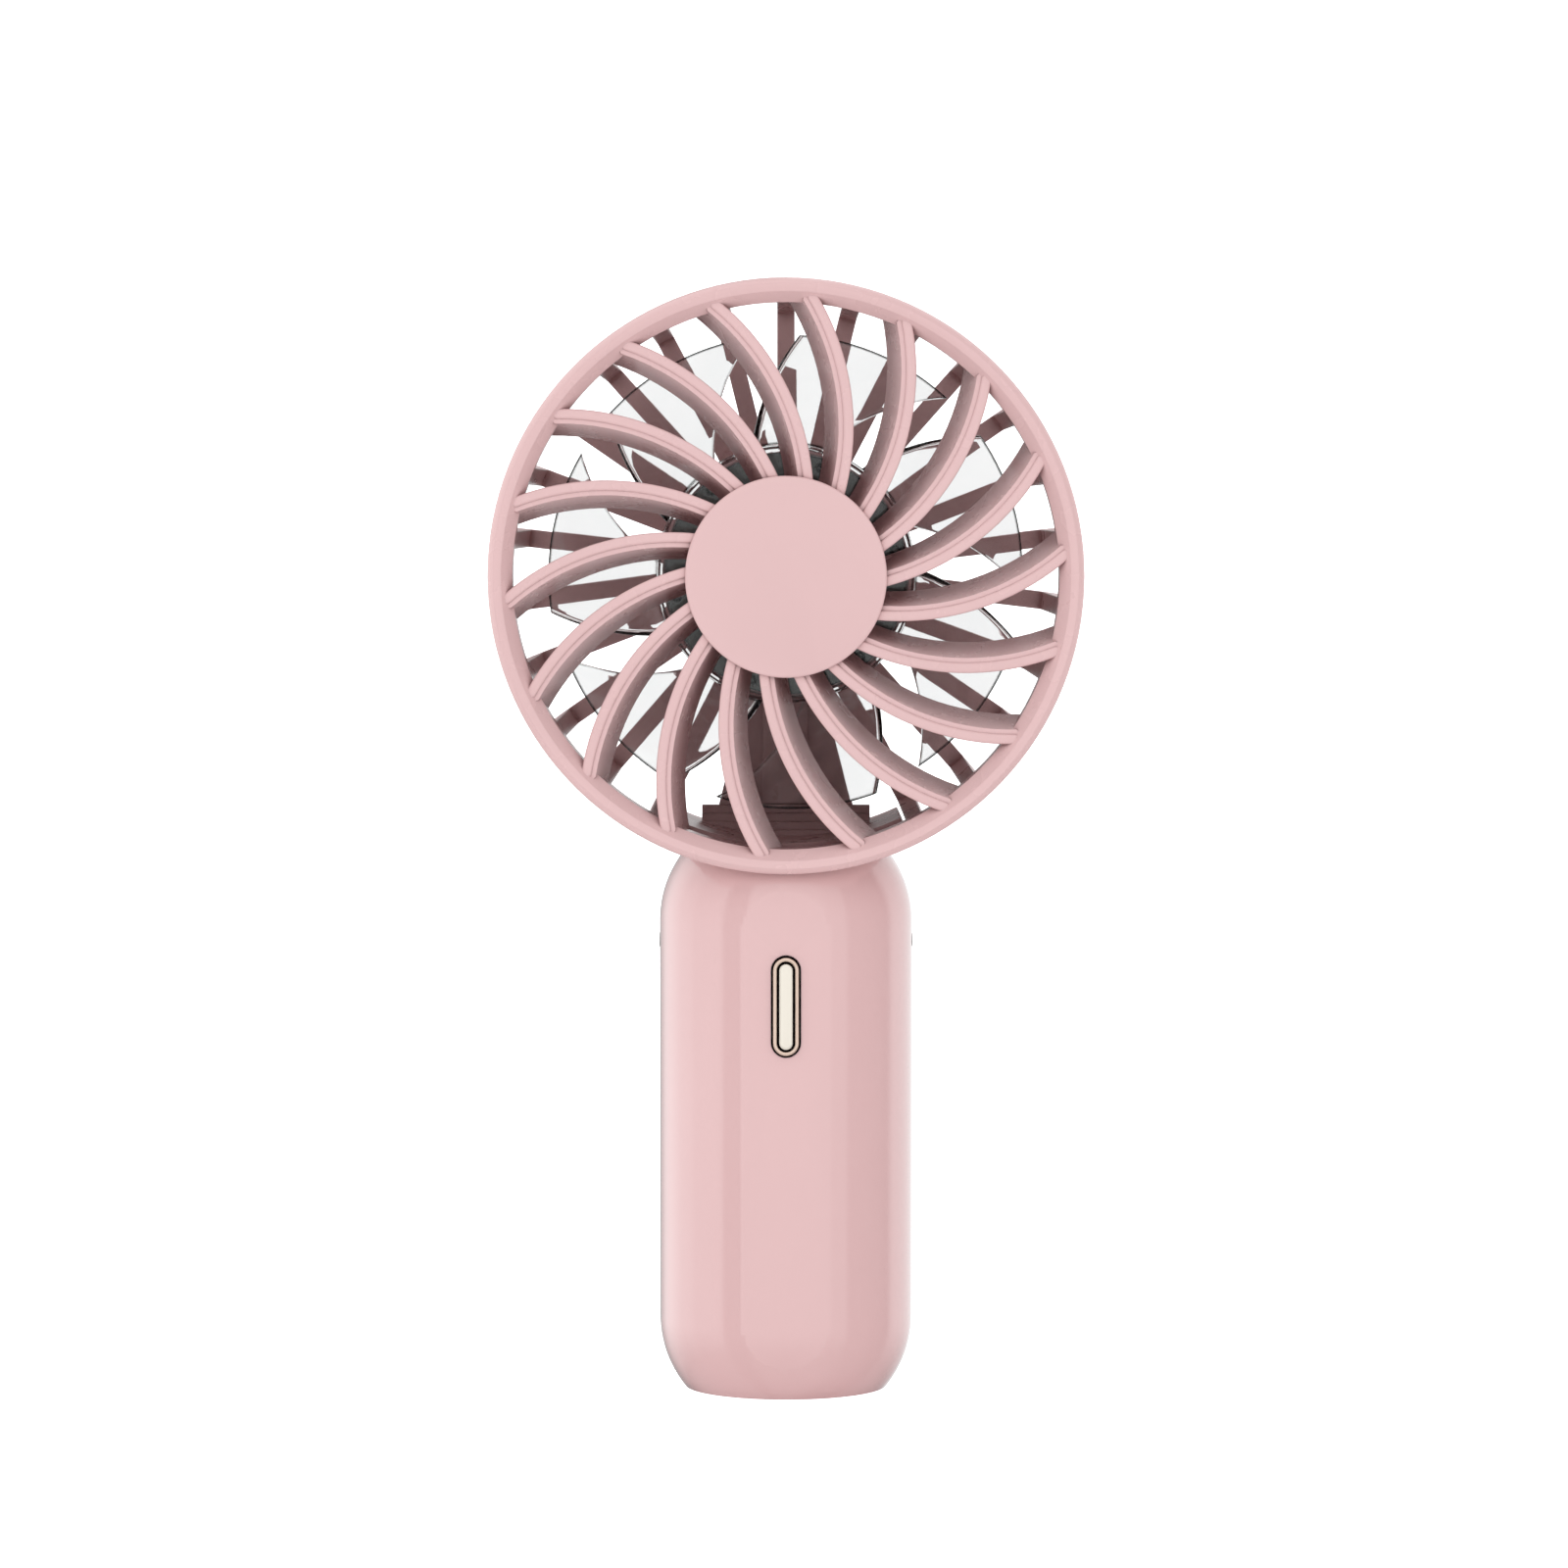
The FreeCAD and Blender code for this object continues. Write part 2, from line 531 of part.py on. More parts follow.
def stator():
    """Toothed core: a round body with narrow teeth that end in wide shoes."""
    front, back = "0 - stator_front", "stator_back"
    tooth = padded("YZ_Plane", [(front, "tooth_root - 0.5"), (front, "shoe_inner + 0.4"),
                                (back, "shoe_inner + 0.4"), (back, "tooth_root - 0.5")], "tooth_width")
    shoe = padded("YZ_Plane", [(front, "shoe_inner"), (front, "stator_radius + 0.5"),
                               (back, "stator_radius + 0.5"), (back, "shoe_inner")], "shoe_half * 2")
    teeth = join(ring_of(tooth, "tooth_count"), ring_of(shoe, "tooth_count"))
    core = join(common(teeth, rod("stator_radius", front, back)), rod("tooth_root", front, back))
    return head_node(cut(core, rod("stator_bore", front + " - 1", back + " + 1")), "stator_core")


def windings():
    """One coil round each pole."""
    half = size("coil_half")
    low, high = -size("coil_front"), size("coil_back")
    inner, outer = size("coil_inner"), size("coil_outer")
    block = Part.makeBox(2 * half, high - low, outer - inner, Vector(-half, low, inner))
    uprights = [edge for edge in block.Edges if abs(edge.tangentAt(0).z) > 0.9]
    rounded = block.makeFillet(size("coil_round"), uprights)
    gap = size("running_gap")
    core = size("tooth_width") / 2 + gap
    core_low = -size("stator_front") - gap
    core_deep = size("stator_back") - core_low + gap
    window = Part.makeBox(2 * core, core_deep, outer, Vector(-core, core_low, inner / 2))
    apex = Vector(0, low - 1, size("coil_gap"))
    spread = Vector(outer * math.tan(math.pi / size("tooth_count")), 0, 0)
    reach = apex + Vector(0, 0, outer)
    wedge = Part.Face(Part.makePolygon([apex, reach - spread, reach + spread, apex]))
    coil = rounded.common(wedge.extrude(Vector(0, high - low + 2, 0))).cut(window)
    return head_node(made("Coils", Part.makeCompound(around(coil, size("tooth_count")))), "stator_windings")


def motor_frame():
    base = turned([("tube_inner", "0 - tube_front"), ("tube_outer", "0 - tube_front"),
                   ("tube_outer", "base_front"), ("base_radius", "base_front"), ("base_radius", "base_back"),
                   ("tube_inner", "base_back")])
    holes = [rod("motor_screw_radius + running_gap", "base_front - 1", "base_back + 1", *spot)
             for spot in MOTOR_SCREWS]
    lead_hole = rod("lead_hole", "base_front - 1", "base_back + 1", "0", "0 - lead_hole_drop")
    head_node(cut(base, lead_hole, *holes), "motor_base")
    board = cut(rod("board_outer", "board_front", "board_back"),
                rod("board_inner", "board_front - 1", "board_back + 1"))
    head_node(board, "motor_board")
    screws = [join(rod("motor_screw_radius - running_gap", "board_back + 0.3", "cup_floor + 0.5", *spot),
                   rod("motor_screw_head", "cup_floor", "cup_floor + 1.4", *spot)) for spot in MOTOR_SCREWS]
    head_node(group(*screws), "motor_screws")


# ---------------------------------------------------------------- handle

def handle_blank():
    """Outer form of the handle, a round bar that narrows at both ends, with a flat strip down its front."""
    bar = turned([("0", "0"), ("foot_radius", "0"), ("handle_radius", "lower_straight", "foot_round", 1),
                  ("handle_radius", "upper_straight"), ("top_radius", "handle_top", "foot_round", 1),
                  ("0", "handle_top")], "Z_Axis")
    strip = box("0 - far", "far", "0 - far", "0 - facet_depth", "0 - 1", "handle_top + 1")
    return cut(bar, strip)


def handle_cavity():
    hollow = turned([("0", "cavity_low"), ("cavity_low_radius", "cavity_low"),
                     ("handle_radius - handle_wall", "lower_straight", "cavity_round", 1),
                     ("handle_radius - handle_wall", "upper_straight"),
                     ("cavity_top_radius", "handle_top", "cavity_round", 1), ("0", "handle_top")], "Z_Axis")
    strip = box("0 - far", "far", "0 - far", "0 - facet_depth + handle_wall", "0 - 1", "handle_top + 1")
    return cut(hollow, strip)


def head_clearance():
    """Room for the round head in the top of the handle."""
    return rod("head_radius + running_gap", "0 - far", "far", "0", "head_height")


def button_slot():
    width, length = "button_half_width + button_gap", "button_half_length"
    slot = box("0 - button_half_width - button_gap", width, "0 - far", "0 - flange_back",
               "button_height - " + length, "button_height + " + length)
    ends = [rod(width, "0 - far", "0 - flange_back", "0", "button_height " + way + length)
            for way in ("- ", "+ ")]
    return join(slot, *ends)


def socket_oval(grow, start, end):
    """Round-ended outline of the charging socket, grown by a margin, along +Y."""
    half_height = "(socket_half_height + %s)" % grow
    half_width = "(socket_half_width - socket_half_height)"
    middle = box("0 - " + half_width, half_width, start, end, "socket_height - " + half_height,
                 "socket_height + " + half_height)
    ends = [rod(half_height, start, end, side + half_width, "socket_height") for side in SIDES]
    return join(middle, *ends)


def shell_half(front):
    """One of the two handle halves, before its bosses and openings."""
    if front:
        side = box("0 - far", "far", "0 - far", "0 - parting_gap", "0 - 1", "handle_top + 1")
    else:
        side = box("0 - far", "far", "0", "far", "0 - 1", "handle_top + 1")
    return common(cut(handle_blank(), handle_cavity()), side)


def inside_blank(*things):
    """Bosses trimmed to the outer form of the handle."""
    return common(join(*things), handle_blank())


def shell_openings():
    foot = post("plate_radius + plate_gap", "0 - 1", "cavity_low + 1")
    eyelets = peg("eyelet_outer", "0 - far", "far", "0", "eyelet_height")
    return [head_clearance(), foot, eyelets]


def handle_front_shell():
    lower = [rod("screw_boss", "0 - lower_boss_root", "0 - parting_gap", side + "lower_screw_side",
                 "lower_screw_height") for side in SIDES]
    upper = [rod("screw_boss", "0 - upper_boss_root", "0 - spigot_half_depth - parting_gap",
                 side + "neck_screw_side", "neck_screw_height") for side in SIDES]
    board = [rod("small_boss", "0 - upper_boss_root", "0 - circuit_front", *spot)
             for spot in CIRCUIT_SCREWS]
    solid = join(shell_half(True), inside_blank(*lower, *upper, *board))
    pilots = [rod("screw_radius", "0 - " + end, "1", side + place + "_screw_side", place + "_screw_height")
              for place, end in (("lower", "lower_pilot_end"), ("neck", "upper_pilot_end")) for side in SIDES]
    pilots += [rod("small_screw_radius", "0 - board_pilot_end", "1", *spot) for spot in CIRCUIT_SCREWS]
    return node(cut(solid, button_slot(), *pilots, *shell_openings()), "handle_front_shell")


def handle_rear_shell():
    lower = [rod("screw_boss", "0", "lower_boss_root", side + "lower_screw_side", "lower_screw_height")
             for side in SIDES]
    upper = [rod("screw_boss + 0.5", "spigot_half_depth + parting_gap", "upper_boss_root",
                 side + "neck_screw_side", "neck_screw_height") for side in SIDES]
    under = ("charge_front", "handle_radius - 2.4", "charge_top - charge_thick - 1.6",
             "charge_top - charge_thick")
    shelf = [box(side + "charge_half - 1", side + "charge_half + 1", *under) for side in SIDES]
    solid = join(shell_half(False), inside_blank(*lower, *upper, *shelf))
    passages = []
    for side in SIDES:
        for place, seat in (("lower", "lower_seat"), ("neck", "upper_seat")):
            spot = (side + place + "_screw_side", place + "_screw_height")
            passages.append(rod("screw_radius + running_gap", "0 - 1", "far", *spot))
            passages.append(rod("screw_head + 0.15", seat, "far", *spot))
    port = socket_oval("0.15", "socket_front - 1", "far")
    return node(cut(solid, port, *passages, *shell_openings()), "handle_rear_shell")


def base_plate():
    plate = turned([("0", "0"), ("plate_radius - 0.3", "0"), ("plate_radius", "0.3"),
                    ("plate_radius", "plate_step"), ("plate_flange", "plate_step"),
                    ("plate_flange", "plate_thick"), ("0", "plate_thick")], "Z_Axis")
    return node(plate, "base_plate")


def strap_eyelets():
    """A short sleeve in each side of the handle."""
    spans = (("handle_radius - eyelet_length", "handle_radius + eyelet_proud"),
             ("0 - handle_radius - eyelet_proud", "0 - handle_radius + eyelet_length"))
    pair = []
    for start, end in spans:
        sleeve = peg("eyelet_outer - 0.02", start, end, "0", "eyelet_height")
        hole = peg("eyelet_bore", start + " - 1", end + " + 1", "0", "eyelet_height")
        pair.append(cut(sleeve, hole))
    return node(group(*pair), "strap_eyelets")


# ---------------------------------------------------------------- button, switch and board

def pill(half_width, half_length, start, end):
    """Flat bar with round ends, upright, along -Y from start to end."""
    bar = box("0 - " + half_width, half_width, start, end, "button_height - " + half_length,
              "button_height + " + half_length)
    ends = [rod(half_width, start, end, "0", "button_height " + way + half_length) for way in ("- ", "+ ")]
    return join(bar, *ends)


def pill_loop(radius, front):
    """Wire round an upright pill outline at one distance in front of the handle's axis."""
    height, reach = size("button_height"), size("button_half_length")
    low, high = height - reach, height + reach
    corners = [Vector(radius, -front, low), Vector(radius, -front, high), Vector(-radius, -front, high),
               Vector(-radius, -front, low)]
    return Part.Wire([Part.LineSegment(corners[0], corners[1]).toShape(),
                      Part.Arc(corners[1], Vector(0, -front, high + radius), corners[2]).toShape(),
                      Part.LineSegment(corners[2], corners[3]).toShape(),
                      Part.Arc(corners[3], Vector(0, -front, low - radius), corners[0]).toShape()])


def power_button():
    """Pill with a narrow flat land and sloping shoulders, a flange behind and a stem for the switch."""
    front = size("facet_depth") + size("button_proud")
    half_width = size("button_half_width")
    loops = [pill_loop(size("button_land"), front),
             pill_loop(half_width - size("button_round"), front - size("button_crown") / 2),
             pill_loop(half_width, front - size("button_crown"))]
    crown = made("Crown", Part.makeLoft(loops, True, True))
    skirt = pill("button_half_width", "button_half_length", "0 - facet_depth - button_proud + button_crown",
                 "0 - flange_back")
    flange = pill("(button_half_width + button_flange)", "button_half_length", "0 - flange_front",
                  "0 - flange_back")
    stem = rod("stem_half", "0 - flange_back - 0.3", "0 - plunger_front - running_gap", "0", "button_height")
    return node(join(crown, skirt, flange, stem), "power_button")


def switch_and_board():
    plunger = rod("plunger_radius", "0 - plunger_front", "0 - plunger_back", "0", "button_height")
    node(plunger, "switch_plunger")
    body = box("0 - switch_half", "switch_half", "0 - switch_front", "0 - circuit_front",
               "button_height - switch_half", "button_height + switch_half")
    pocket = rod("plunger_radius + running_gap", "0 - switch_front - 1",
                 "0 - plunger_back + button_travel + 0.1", "0", "button_height")
    node(cut(body, pocket), "tact_switch")
    board = box("0 - circuit_half", "circuit_half", "0 - circuit_front", "0 - circuit_back", "circuit_foot",
                "circuit_top")
    holes = [rod("small_screw_radius + running_gap", "0 - circuit_front - 1", "0 - circuit_back + 1", *spot)
             for spot in CIRCUIT_SCREWS]
    node(cut(board, *holes), "control_board")
    screws = [join(rod("small_screw_radius - 0.02", "0 - circuit_front - 3", "0 - circuit_back + 0.5", *spot),
                   rod("small_screw_head", "0 - circuit_back", "0 - circuit_back + 1.1", *spot))
              for spot in CIRCUIT_SCREWS]
    node(group(*screws), "board_screws")
    coil = post("2.0", "46.5", "49.5", "5.6", "0 - circuit_back + 2.1")
    chips = [box(x, x + " + 3.6", "0 - circuit_back", "0 - circuit_back + 1.1", z, z + " + 4")
             for x, z in (("0 - 7.5", "55"), ("3", "54"), ("0 - 7.5", "45"), ("0 - 7.5", "65"))]
    node(group(coil, *chips), "board_parts")


# ---------------------------------------------------------------- battery, charging and leads

def battery():
    can = post("cell_radius", "cell_foot", "cell_top - 1.2", "0", "cell_depth")
    button = post("3.0", "cell_top - 1.2", "cell_top", "0", "cell_depth")
    node(join(can, button), "battery_cell")
    top = box("0 - 2.5", "2.5", "cell_depth - 4", "cell_depth + 3", "cell_top + press_gap", "cell_top + 0.2")
    low = box("0 - 2.5", "2.5", "cell_depth - 11", "cell_depth + 4", "cell_foot - 0.2",
              "cell_foot - press_gap")
    node(group(top, low), "battery_tabs")
    pad = post("cell_radius - 1.5", "cell_foot - pad_thick - 0.3", "cell_foot - 0.25", "0", "cell_depth")
    node(pad, "battery_pad")


def charging():
    board = box("0 - charge_half", "charge_half", "charge_front", "charge_back", "charge_top - charge_thick",
                "charge_top")
    node(board, "charge_board")
    shell = cut(socket_oval("0", "socket_front", "socket_back"),
                socket_oval("0 - 0.3", "socket_front + 0.8", "socket_back + 1"))
    tongue = box("0 - 3.2", "3.2", "socket_front + 0.5", "socket_back - 1.2", "socket_height - 0.35",
                 "socket_height + 0.35")
    node(join(shell, tongue), "usb_socket")


def leads():
    """Leads of the motor, the cell and the charging board."""
    lift = size("head_height")
    motor = []
    for side in (-1.2, 0.0, 1.2):
        motor.append([(side, 6.3, lift - 10.2), (side, 9.5, lift - 10.4), (side, 12.6, lift - 12.5),
                      (side, 13.7, lift - 17.0), (side, 13.8, lift - 28.0), (side, 13.7, lift - 38.0),
                      (side, 13.0, lift - 43.4), (side, 10.0, lift - 45.2), (side, 4.0, lift - 45.6),
                      (side, 1.0, lift - 48.6),
                      (side, 0.2, lift - 53.0), (side, 0.0, lift - 57.3), (side * 1.6, -3.0, lift - 57.6),
                      (side * 2.0, -10.2, lift - 57.6)])
    red = [(4.6, 3.0, 67.4), (5.4, -1.0, 67.6), (5.6, -6.0, 67.9), (5.6, -10.2, 67.9)]
    black = [(-3.2, -5.6, 17.4), (-3.2, -6.2, 20.0), (-3.6, -6.2, 30.0), (-4.2, -7.2, 37.0),
             (-4.6, -9.7, 39.2)]
    charge = [[(x, 7.0, 9.9), (x, 2.0, 10.4), (x + 0.6, -5.0, 14.0), (x, -9.7, 38.4)] for x in (4.0, 5.6)]
    for label, paths in (("motor_leads", motor), ("battery_leads", [red, black]), ("charge_leads", charge)):
        wires = [pipe(path, size("wire_radius")) for path in paths]
        node(made("Leads", Part.makeCompound(wires)), label)


def cross_recess(spot, top):
    """Cross-shaped driver recess in a screw head."""
    x, z = spot
    arms = (("recess_half", "recess_width * 0.5"), ("recess_width * 0.5", "recess_half"))
    bars = [box(x + " - " + wide, x + " + " + wide, top + " - recess_depth", top + " + 1", z + " - " + tall,
                z + " + " + tall) for wide, tall in arms]
    return join(*bars)


def screws():
    """Two pairs of shell screws, put in from behind."""
    for label, place, reach, seat in (("handle_screws", "lower", "lower_screw_end", "lower_seat"),
                                      ("neck_screws", "neck", "upper_screw_end", "upper_seat")):
        pair = []
        for side in SIDES:
            spot = (side + place + "_screw_side", place + "_screw_height")
            top = seat + " + screw_head_height"
            shank = rod("screw_radius - 0.02", "0 - " + reach, seat + " + 0.5", *spot)
            pair.append(cut(join(shank, rod("screw_head", seat, top, *spot)), cross_recess(spot, top)))
        node(group(*pair), label)


for build in (front_grille, grille_cap, rear_cage, neck_cover, rear_cap, impeller, rotor, bearings, stator,
              windings, motor_frame, handle_front_shell, handle_rear_shell, base_plate, strap_eyelets,
              power_button, switch_and_board, battery, charging, leads, screws):
    build()
doc.recompute()

for item in doc.Objects:
    if "Invalid" in item.State or "Error" in item.State:
        raise ValueError("%s did not recompute" % item.Name)
os.makedirs("parts", exist_ok=True)
for piece in NODES:
    if piece.Shape.isNull() or not piece.Shape.isValid():
        raise ValueError("%s has no valid shape" % piece.Label)
    piece.Shape.exportStep("parts/%s.step" % piece.Label)
    print("%-20s solids %d volume %.1f" % (piece.Label, len(piece.Shape.Solids), piece.Shape.Volume))
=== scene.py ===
import json
import math

import bmesh
import bpy
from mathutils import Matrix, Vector


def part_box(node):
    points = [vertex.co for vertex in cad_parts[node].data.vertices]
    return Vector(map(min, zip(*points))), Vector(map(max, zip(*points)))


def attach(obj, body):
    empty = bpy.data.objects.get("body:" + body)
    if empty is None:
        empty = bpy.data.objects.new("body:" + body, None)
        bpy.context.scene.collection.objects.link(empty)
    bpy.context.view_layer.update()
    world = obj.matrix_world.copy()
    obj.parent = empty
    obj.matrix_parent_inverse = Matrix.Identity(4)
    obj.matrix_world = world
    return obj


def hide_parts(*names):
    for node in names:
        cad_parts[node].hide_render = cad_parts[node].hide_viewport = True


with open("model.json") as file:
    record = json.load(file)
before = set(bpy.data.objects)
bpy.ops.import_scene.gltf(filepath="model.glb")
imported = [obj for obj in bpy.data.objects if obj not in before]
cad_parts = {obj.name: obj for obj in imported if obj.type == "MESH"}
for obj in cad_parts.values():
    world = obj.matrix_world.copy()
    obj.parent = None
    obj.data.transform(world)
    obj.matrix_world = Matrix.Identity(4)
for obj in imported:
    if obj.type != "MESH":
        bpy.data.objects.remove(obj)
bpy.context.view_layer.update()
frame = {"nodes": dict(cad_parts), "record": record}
NODES = frame["nodes"]
MM = 0.001

# power button: the half width of its pill, the flange behind it and how deep the modelled pill goes
BUTTON_HALF_WIDTH = 2.15 * MM
BUTTON_FLANGE = 0.8 * MM
BUTTON_DEPTH = 2.6 * MM
ARC_STEPS = 24
RIM_STEPS = 10

# carried-over parts: points closer than this are one, and faces that meet at more than this keep an edge
WELD_REACH = 0.002 * MM
CREASE = math.radians(28)
BUTTON_CREASE = math.radians(50)

# brightness of the air round the fan: degrees from the front, right positive, and shares of white
MIRRORED_AIR = ((-180, 0.3), (-153, 0.6), (-145, 0.95), (-139, 1.1), (-130, 1.25), (-120, 1.25),
                (-112, 1.12), (-98, 1.1), (-92, 0.9), (-63, 0.9), (-57, 0.05), (-38, 0.05),
                (-34, 0.75), (33, 0.75), (38, 0.55), (56, 0.5), (60, 0.0), (105, 0.0),
                (115, 0.8), (180, 1.05))
SOFT_AIR = ((-180, 0.93), (-90, 1.09), (0, 1.02), (90, 0.89), (180, 0.92))
SEEN_THROUGH_AIR = ((-180, 0.5), (180, 0.5))

# what shiny surfaces mirror is full above one upward share of direction, and less below the other
MIRROR_DARK_RISE = -0.5
MIRROR_FULL_RISE = -0.16
LIFT_FROM_BELOW = 0.25

# paper sweep in metres: front edge, where it starts to rise, radius of its bend, top and half width
PAPER_FRONT = -4.0
PAPER_RISE = 1.2
PAPER_BEND = 1.2
PAPER_TOP = 6.0
PAPER_HALF_WIDTH = 6.0
PAPER_STEPS = 12
PAPER_GREY = 0.78
PAPER_GLOW = 0.22
PAPER_WHITE = 1.0

# key light and camera
KEY_SPOT = (-0.5, -1.6, 0.9)
KEY_TARGET = (0, 0, 0.1)
KEY_SIDE = 0.7
KEY_POWER = 1.6
CAMERA_SPOT = (-0.0003, -1.041, 0.1603)
CAMERA_DIP = 3.70
CAMERA_VIEW = 13.18

# recesses: colour of the painted shade that darkens them and how far a surface has to see to count as open
RECESS_PAINTED_SHADE = (0.43, 0.345, 0.345)
RECESS_REACH = 35 * MM

# rims of the clear plastic: the near-black painted shade that stands in for the dark edges refraction
# gives, how far from an edge it starts, and the agreement of the rounded and the true surface direction at
# which it starts and is full
CLEAR_RIM_PAINTED_SHADE = (0.03, 0.032, 0.032, 1)
RIM_REACH = 0.6 * MM
RIM_START = 0.998
RIM_FULL = 0.95

# noise of the surfaces, in spots per metre, and the height of their relief
DRIFT_SCALE = 42.0
SMEAR_SCALE = 160.0
FLOW_SCALE = 60.0
FILM_SCALE = 220.0
PORE_HEIGHT = 0.04 * MM
FLOW_HEIGHT = 0.2 * MM

# places of the colour inputs and output of a mix node
FIRST, SECOND, MIXED = 6, 7, 2


# ---------------------------------------------------------------- materials

def tree_of(name):
    """New material with its node tree and its principled shader."""
    material = bpy.data.materials.new(name)
    material.use_nodes = True
    tree = material.node_tree
    return material, tree, tree.nodes["Principled BSDF"]


def add(tree, kind, **values):
    """One node with its settings and input values."""
    made = tree.nodes.new(kind)
    for key, value in values.items():
        if key in made.inputs:
            made.inputs[key].default_value = value
        else:
            setattr(made, key, value)
    return made


def object_noise(tree, scale, detail=3.0, stretch=(1, 1, 1)):
    """Noise in the object's own space."""
    place = add(tree, "ShaderNodeTexCoord")
    squeeze = add(tree, "ShaderNodeMapping")
    squeeze.inputs["Scale"].default_value = stretch
    noise = add(tree, "ShaderNodeTexNoise", Scale=scale, Detail=detail)
    tree.links.new(place.outputs["Object"], squeeze.inputs["Vector"])
    tree.links.new(squeeze.outputs["Vector"], noise.inputs["Vector"])
    return noise


def ramp(tree, source, low, high, start=0.3, end=0.7):
    """Colour ramp between two colours, or two greys."""
    mapped = add(tree, "ShaderNodeValToRGB")
    for stop, value, spot in zip(mapped.color_ramp.elements, (low, high), (start, end)):
        stop.position = spot
        stop.color = (value, value, value, 1) if isinstance(value, float) else (*value, 1)
    tree.links.new(source, mapped.inputs["Fac"])
    return mapped


def srgb(red, green, blue):
    """Screen colour, 0 to 255, as linear light."""
    shares = [value / 255 for value in (red, green, blue)]
    return tuple(((share + 0.055) / 1.055) ** 2.4 if share > 0.04 else share / 12.92 for share in shares)


def shade(colour, factor):
    """Lighter or darker version of a colour."""
    return tuple(min(v * factor, 1.0) for v in colour)


def recess_painted_shade(tree, surface, strength):
    """Painted shade: darker, redder colour where a surface looks into a closed space."""
    open_air = add(tree, "ShaderNodeAmbientOcclusion", samples=6, Distance=RECESS_REACH)
    depth = ramp(tree, open_air.outputs["AO"], RECESS_PAINTED_SHADE, (1.0, 1.0, 1.0), 0.15, 0.8)
    tint = add(tree, "ShaderNodeMix", data_type="RGBA", blend_type="MULTIPLY")
    tint.inputs["Factor"].default_value = strength
    tree.links.new(surface, tint.inputs[FIRST])
    tree.links.new(depth.outputs["Color"], tint.inputs[SECOND])
    return tint.outputs[MIXED]


def worn_tint(tree, colour, change, wear):
    """Colour that drifts slightly over the surface and is paler on worn edges."""
    drift = object_noise(tree, DRIFT_SCALE)
    tint = ramp(tree, drift.outputs["Fac"], shade(colour, 1 - change), shade(colour, 1 + change))
    edge = add(tree, "ShaderNodeNewGeometry")
    worn = ramp(tree, edge.outputs["Pointiness"], 0.0, 1.0, 0.53, 0.62)
    strength = add(tree, "ShaderNodeMath", operation="MULTIPLY")
    strength.inputs[1].default_value = wear
    mix = add(tree, "ShaderNodeMix", data_type="RGBA")
    mix.inputs[SECOND].default_value = (*shade(colour, 1.25), 1)
    tree.links.new(worn.outputs["Color"], strength.inputs[0])
    tree.links.new(strength.outputs["Value"], mix.inputs["Factor"])
    tree.links.new(tint.outputs["Color"], mix.inputs[FIRST])
    return mix.outputs[MIXED]


def soft_relief(tree, grain, stretch, bump, soft):
    """Surface direction with softened corners and fine pores."""
    pores = object_noise(tree, grain, 2.0, stretch)
    soft_edge = add(tree, "ShaderNodeBevel", samples=4, Radius=soft)
    relief = add(tree, "ShaderNodeBump", Strength=bump, Distance=PORE_HEIGHT)
    tree.links.new(pores.outputs["Fac"], relief.inputs["Height"])
    tree.links.new(soft_edge.outputs["Normal"], relief.inputs["Normal"])
    return relief.outputs["Normal"]


def moulded(name, colour, rough=0.3, metallic=0.0, change=0.03, grain=2600.0, bump=0.05, stretch=(1, 1, 1),
            coat=0.0, wear=0.06, soft=0.12 * MM, shade_in=0.0, shine=0.5):
    """Moulded, turned or sheet surface: slight colour drift, fine grain, uneven gloss, paler worn edges,
    softened corners and, where asked, painted shade that darkens recesses."""
    material, tree, shader = tree_of(name)
    surface = worn_tint(tree, colour, change, wear)
    if shade_in:
        surface = recess_painted_shade(tree, surface, shade_in)
    tree.links.new(surface, shader.inputs["Base Color"])
    smear = object_noise(tree, SMEAR_SCALE, 4.0, stretch)
    gloss = ramp(tree, smear.outputs["Fac"], max(rough - 0.04, 0.02), min(rough + 0.05, 1.0))
    tree.links.new(gloss.outputs["Color"], shader.inputs["Roughness"])
    tree.links.new(soft_relief(tree, grain, stretch, bump, soft), shader.inputs["Normal"])
    shader.inputs["Metallic"].default_value = metallic
    shader.inputs["Coat Weight"].default_value = coat
    shader.inputs["Specular IOR Level"].default_value = shine
    return material


def rim_share(tree):
    """How near a point is to a sharp edge, from nought on open faces to one on thin rims."""
    rounded = add(tree, "ShaderNodeBevel", samples=6, Radius=RIM_REACH)
    here = add(tree, "ShaderNodeNewGeometry")
    same = add(tree, "ShaderNodeVectorMath", operation="DOT_PRODUCT")
    tree.links.new(rounded.outputs["Normal"], same.inputs[0])
    tree.links.new(here.outputs["Normal"], same.inputs[1])
    share = add(tree, "ShaderNodeMapRange")
    share.inputs["From Min"].default_value = RIM_START
    share.inputs["From Max"].default_value = RIM_FULL
    tree.links.new(same.outputs["Value"], share.inputs["Value"])
    return share.outputs["Result"]


